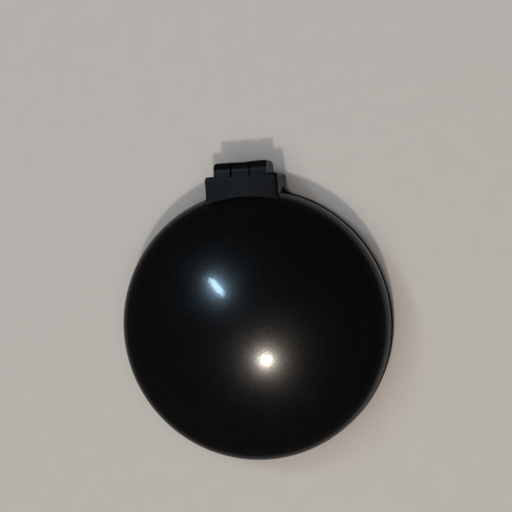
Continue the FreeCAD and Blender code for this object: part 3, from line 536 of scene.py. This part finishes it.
class FinishColours(bpy.types.PropertyGroup):
    """Colours of the finishes"""
    case: bpy.props.FloatVectorProperty(
        name="Case", description="Polished moulding of both halves",
        subtype="COLOR", default=linear("#050506"))
    works: bpy.props.FloatVectorProperty(
        name="Works", description="Plain moulding inside", subtype="COLOR", default=linear("#161617"))
    mirror: bpy.props.FloatVectorProperty(
        name="Mirror", description="Silvered glass", subtype="COLOR", default=linear("#EDF0EF"))
    rubber: bpy.props.FloatVectorProperty(
        name="Rubber", description="Cushion", subtype="COLOR", default=linear("#131314"))
    bristle: bpy.props.FloatVectorProperty(
        name="Bristles", description="Nylon pins", subtype="COLOR", default=linear("#151515"))
    bead: bpy.props.FloatVectorProperty(
        name="Beads", description="Resin ends of the bristles",
        subtype="COLOR", default=linear("#C9C9C6"))
    steel: bpy.props.FloatVectorProperty(
        name="Pins", description="Steel pins", subtype="COLOR", default=linear("#C4C4C6"))
    tape: bpy.props.FloatVectorProperty(
        name="Tape", description="Foam tape behind the glass",
        subtype="COLOR", default=linear("#E3E2DC"))
    board: bpy.props.FloatVectorProperty(
        name="Board", description="Surface under the case", subtype="COLOR", default=linear("#B4AEAA"))


class StageSettings(bpy.types.PropertyGroup):
    """Camera and light"""
    distance: bpy.props.FloatProperty(
        name="Camera distance", description="From the camera to the middle of the case",
        default=0.294, unit="LENGTH")
    tilt: bpy.props.FloatProperty(
        name="Tilt", description="How far the camera is off the case's axis",
        default=math.radians(12), subtype="ANGLE")
    heading: bpy.props.FloatProperty(
        name="Heading", description="Side to which the camera is off, from +X towards the hinge",
        default=math.radians(28), subtype="ANGLE")
    roll: bpy.props.FloatProperty(
        name="Roll", description="How far the case is turned in the picture",
        default=math.radians(4.2), subtype="ANGLE")
    lens: bpy.props.FloatProperty(name="Lens", description="Focal length in millimetres", default=79.5)
    lamp_power: bpy.props.FloatProperty(
        name="Lamp power", description="Power of the warm lamp", default=3.8, subtype="POWER")
    window_power: bpy.props.FloatProperty(
        name="Window power", description="Power of the cool strip", default=1.5, subtype="POWER")
    fill_strength: bpy.props.FloatProperty(
        name="Fill strength", description="Strength of the soft light from above", default=1.9)


class DressCase(bpy.types.Operator):
    """Finish both halves of the case, the rings and the bezel"""
    bl_idname = "mirror_brush.dress_case"
    bl_label = "Case"

    def execute(self, context):
        colours = context.scene.mirror_brush_colours
        give_finish(CASE_NODES, polished_abs(colours.case, linear("#3B3735")))
        return {"FINISHED"}


class DressWorks(bpy.types.Operator):
    """Finish the plate, the pins and the tape"""
    bl_idname = "mirror_brush.dress_works"
    bl_label = "Works"

    def execute(self, context):
        colours = context.scene.mirror_brush_colours
        give_finish(["lift_plate"], satin_abs(colours.works))
        give_finish(["hinge_pin_left", "hinge_pin_right", "lift_pin"], drawn_steel(colours.steel))
        give_finish(["mirror_adhesive"], foam_tape(colours.tape))
        return {"FINISHED"}


class DressMirror(bpy.types.Operator):
    """Silver the mirror"""
    bl_idname = "mirror_brush.dress_mirror"
    bl_label = "Mirror"

    def execute(self, context):
        give_finish(["mirror_glass"], silvered_glass(context.scene.mirror_brush_colours.mirror))
        return {"FINISHED"}


class MakeCushion(bpy.types.Operator):
    """Make the crowned rubber cushion with a collar round each bristle"""
    bl_idname = "mirror_brush.make_cushion"
    bl_label = "Cushion"

    def execute(self, context):
        sizes = context.scene.mirror_brush_pad
        colours = context.scene.mirror_brush_colours
        rubber = moulded_rubber(colours.rubber, linear("#2B2A29"))
        body = turned_mesh("rubber_cushion", self.profile(sizes), segments=160, crease=50)
        body.materials.append(rubber)
        cushion = new_object("rubber_cushion", body)
        collar = turned_mesh("collar", self.collar(sizes), segments=20, crease=60)
        collars = planted_mesh("collars", collar, rubber, seed=0)
        joined = bmesh.new()
        joined.from_mesh(body)
        joined.from_mesh(collars)
        joined.to_mesh(body)
        joined.free()
        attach(cushion, "brush_pad")
        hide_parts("cushion")
        return {"FINISHED"}

    def profile(self, sizes):
        """From the apex over the crown, the skirt and the flange, and back under the crown."""
        ball = crown_ball_radius(sizes)
        ball_z = CUSHION_LOW.z + ball
        fillet = sizes.edge_radius
        reach = sizes.cushion_radius - fillet
        sink = math.acos(reach / (ball - fillet))
        fillet_z = ball_z - math.sqrt((ball - fillet) ** 2 - reach ** 2)
        flange_depth = 1.4 * MM
        flange_z = RING_HIGH.z - flange_depth
        inner = sizes.cushion_radius - sizes.wall
        inner_ball = ball - sizes.wall
        inner_start = math.degrees(math.acos(inner / inner_ball))
        edge_angle = -math.degrees(sink)
        points = arc_points((0, ball_z), ball, -90, edge_angle, steps=40)
        points += arc_points((reach, fillet_z), fillet, edge_angle, 0, steps=8)[1:]
        points += [(sizes.cushion_radius, flange_z), (CUSHION_HIGH.x, flange_z),
                   (CUSHION_HIGH.x, CUSHION_HIGH.z), (inner, CUSHION_HIGH.z)]
        points += arc_points((0, ball_z), inner_ball, -inner_start, -90, steps=24)
        points[0] = (0, points[0][1])
        points[-1] = (0, points[-1][1])
        return points

    def collar(self, sizes):
        """Small volcano of rubber, whose foot is sunk in the cushion."""
        root = sizes.root_radius
        height = sizes.collar_height
        foot = root * 3.2
        return [
            (0, -height), (foot, -height), (foot, -height * 0.12), (foot * 0.86, height * 0.06),
            (foot * 0.7, height * 0.34), (foot * 0.56, height * 0.76), (foot * 0.47, height * 0.96),
            (foot * 0.4, height), (root * 1.1, height * 0.9), (root, height * 0.6), (0, height * 0.6),
        ]


class MakeBristles(bpy.types.Operator):
    """Plant the nylon bristles and the resin beads on their ends"""
    bl_idname = "mirror_brush.make_bristles"
    bl_label = "Bristles"

    def execute(self, context):
        sizes = context.scene.mirror_brush_pad
        colours = context.scene.mirror_brush_colours
        nylon = drawn_nylon(colours.bristle)
        resin = dipped_resin(colours.bead, linear("#8E8C87"))
        pin = turned_mesh("pin", self.pin(sizes), segments=20, crease=40)
        bead = turned_mesh("bead", self.bead(sizes), segments=24, crease=60)

        # The same seed keeps each bead on its bristle.
        pins = new_object("nylon_bristles", planted_mesh("nylon_bristles", pin, nylon, seed=11))
        beads = new_object("resin_beads", planted_mesh("resin_beads", bead, resin, seed=11))
        for piece, nodes, slot in ((pins, "bristles_", "bristle_nylon"), (beads, "tips_", "tip_bead")):
            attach(piece, "brush_pad")
            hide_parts(*[nodes + row for row in BRISTLE_ROWS])
        return {"FINISHED"}

    def pin(self, sizes):
        """Flat head behind the rubber, a slight swell at the root, and a taper to the tip."""
        head = 1.0 * MM
        head_gap = 0.25 * MM
        head_height = 0.6 * MM
        swell_end_share = 0.2
        head_z = -sizes.wall - head_gap
        head_low = head_z - head_height
        end = bristle_length() - sizes.bead_radius
        points = [(0, head_low), (head, head_low), (head, head_z), (sizes.root_radius, head_z)]
        for share in (0.0, 0.08, 0.2, 0.4, 0.6, 0.8, 1.0):
            swell = 0.12 * sizes.root_radius * max(0.0, 1 - share / swell_end_share) ** 2
            taper = (sizes.tip_radius - sizes.root_radius) * share
            points.append((sizes.root_radius + taper + swell, end * share))
        return points + [(0, end)]

    def bead(self, sizes):
        """Round drop that is drawn out a little where it grips the bristle."""
        ball = sizes.bead_radius
        centre = bristle_length() - ball
        neck = [(0, centre - 1.25 * ball), (sizes.tip_radius * 1.1, centre - 1.25 * ball),
                (sizes.tip_radius * 1.3, centre - 1.08 * ball)]
        points = neck + arc_points((0, centre), ball, -52, 90, steps=16)
        points[-1] = (0, points[-1][1])
        return points


class MakeStage(bpy.types.Operator):
    """Set the floor, the light and the camera"""
    bl_idname = "mirror_brush.make_stage"
    bl_label = "Stage"

    def execute(self, context):
        settings = context.scene.mirror_brush_stage
        colours = context.scene.mirror_brush_colours
        context.scene.view_settings.view_transform = "Standard"
        self.floor(colours.board)
        self.world(context.scene, colours.board)
        self.lamps(settings)
        self.camera(context.scene, settings)
        return {"FINISHED"}

    def floor(self, colour):
        half = 3.0
        mesh = bpy.data.meshes.new("floor")
        corners = [(-half, -half, 0), (half, -half, 0), (half, half, 0), (-half, half, 0)]
        mesh.from_pydata(corners, [], [(0, 1, 2, 3)])
        mesh.materials.append(matt_board(colour))
        new_object("floor", mesh)

    def world(self, scene, colour):
        """Dim room, dark overhead. The mirror sees the board's colour instead, and so does the camera,
        but as dim as the far end of the floor."""
        far_loss = 0.42
        world = bpy.data.worlds.new("room")
        scene.world = world
        world.use_nodes = True
        tree = world.node_tree
        tree.nodes.clear()
        ray = add_node(tree, "ShaderNodeLightPath")
        direction = add_node(tree, "ShaderNodeTexCoord")
        parts = add_node(tree, "ShaderNodeSeparateXYZ", {"Vector": direction.outputs["Generated"]})
        level = add_node(tree, "ShaderNodeMapRange", {
            "Value": parts.outputs["Z"], "From Min": 0.0, "From Max": 0.8, "To Min": 0.03, "To Max": 0.02},
            interpolation_type="SMOOTHSTEP")
        room = add_node(tree, "ShaderNodeBackground", {"Color": opaque(linear("#F2F4F7")),
                                                       "Strength": level.outputs["Result"]})
        far_dim = add_node(tree, "ShaderNodeMath", {
            0: ray.outputs["Is Camera Ray"], 1: -far_loss, 2: 1.0}, operation="MULTIPLY_ADD")
        backdrop = add_node(tree, "ShaderNodeBackground", {"Color": opaque(colour),
                                                           "Strength": far_dim.outputs["Value"]})
        direct = add_node(tree, "ShaderNodeMath", {
            0: ray.outputs["Is Camera Ray"], 1: ray.outputs["Is Singular Ray"]}, operation="MAXIMUM")
        seen = add_node(tree, "ShaderNodeMixShader", {
            "Fac": direct.outputs["Value"], 1: room.outputs[0], 2: backdrop.outputs[0]})
        add_node(tree, "ShaderNodeOutputWorld", {"Surface": seen.outputs[0]})

    def lamps(self, settings):
        """Two lamps, each where the dome mirrors it at its highlight, and a soft fill."""
        warm_way = Vector((0.039, -0.376, 0.926))
        warm_size = (0.06, 0.06)
        cool_way = Vector((-0.408, 0.365, 0.837))
        cool_size = (0.25, 0.062)
        cool_turn = math.radians(-47)
        self.lamp("warm_lamp", warm_way, warm_size, 0.0, settings.lamp_power, linear("#FFF3E4"))
        self.lamp("cool_strip", cool_way, cool_size, cool_turn, settings.window_power, linear("#BCE4FF"))
        self.fill(settings)

    def lamp(self, name, direction, size, turn, power, colour):
        """Round or oval lamp that faces the case, turned about its own axis."""
        distance = 1.0
        middle = Vector((0, 0, 0.02))
        light = bpy.data.lights.new(name, "AREA")
        light.shape = "ELLIPSE"
        light.size, light.size_y = size
        light.energy = power
        light.color = colour
        lamp = bpy.data.objects.new(name, light)
        bpy.context.scene.collection.objects.link(lamp)
        back = direction.normalized()
        along = Vector((math.cos(turn), math.sin(turn), 0))
        along = (along - back * along.dot(back)).normalized()
        axes = Matrix((along, back.cross(along), back)).transposed()
        lamp.matrix_world = Matrix.Translation(middle + back * distance) @ axes.to_4x4()
        return lamp

    def fill(self, settings):
        """Even soft light from overhead, which gloss doesn't mirror."""
        light = bpy.data.lights.new("soft_fill", "SUN")
        light.energy = settings.fill_strength
        light.angle = math.radians(64)
        new_object("soft_fill", light).visible_glossy = False

    def camera(self, scene, settings):
        """Looks down on the case, which lies below the middle of a square picture."""
        middle = Vector((0, 0, 0.01))
        drop_share = 69 / 512
        side_share = -0.3 / 512
        data = bpy.data.cameras.new("camera")
        data.lens = settings.lens
        data.sensor_width = 36.0
        back = Vector((math.sin(settings.tilt) * math.cos(settings.heading),
                       math.sin(settings.tilt) * math.sin(settings.heading), math.cos(settings.tilt)))
        hinge_way = Vector((0, 1, 0))
        up = (hinge_way - back * hinge_way.dot(back)).normalized()
        right = up.cross(back)
        picture_up = up * math.cos(settings.roll) + right * math.sin(settings.roll)
        picture_right = picture_up.cross(back)
        width = data.sensor_width / data.lens
        aside = picture_up * drop_share * width - picture_right * side_share * width
        ahead = (aside - back).normalized()
        picture_right = ahead.cross(picture_up).normalized()
        picture_up = picture_right.cross(ahead)
        camera = bpy.data.objects.new("camera", data)
        scene.collection.objects.link(camera)
        axes = Matrix((picture_right, picture_up, -ahead)).transposed()
        camera.matrix_world = Matrix.Translation(middle + back * settings.distance) @ axes.to_4x4()
        scene.camera = camera


class BrushPanel(bpy.types.Panel):
    """Sizes, colours and steps of the mirror brush"""
    bl_idname = "VIEW3D_PT_mirror_brush"
    bl_label = "Mirror brush"
    bl_space_type = "VIEW_3D"
    bl_region_type = "UI"
    bl_category = "Mirror brush"

    def draw(self, context):
        scene = context.scene
        for group in (scene.mirror_brush_pad, scene.mirror_brush_colours, scene.mirror_brush_stage):
            for name in group.__annotations__:
                self.layout.prop(group, name)
        for operator in OPERATORS:
            self.layout.operator(operator.bl_idname)


GROUPS = {
    "mirror_brush_pad": PadSizes,
    "mirror_brush_colours": FinishColours,
    "mirror_brush_stage": StageSettings,
}
OPERATORS = (DressCase, DressWorks, DressMirror, MakeCushion, MakeBristles, MakeStage)


def register():
    for name, group in GROUPS.items():
        bpy.utils.register_class(group)
        setattr(bpy.types.Scene, name, bpy.props.PointerProperty(type=group))
    for operator in OPERATORS:
        bpy.utils.register_class(operator)
    bpy.utils.register_class(BrushPanel)


def unregister():
    bpy.utils.unregister_class(BrushPanel)
    for operator in reversed(OPERATORS):
        bpy.utils.unregister_class(operator)
    for name, group in GROUPS.items():
        delattr(bpy.types.Scene, name)
        bpy.utils.unregister_class(group)


def main():
    register()
    bpy.ops.mirror_brush.dress_case()
    bpy.ops.mirror_brush.dress_works()
    bpy.ops.mirror_brush.dress_mirror()
    bpy.ops.mirror_brush.make_cushion()
    bpy.ops.mirror_brush.make_bristles()
    bpy.ops.mirror_brush.make_stage()


if __name__ == "__main__":
    main()
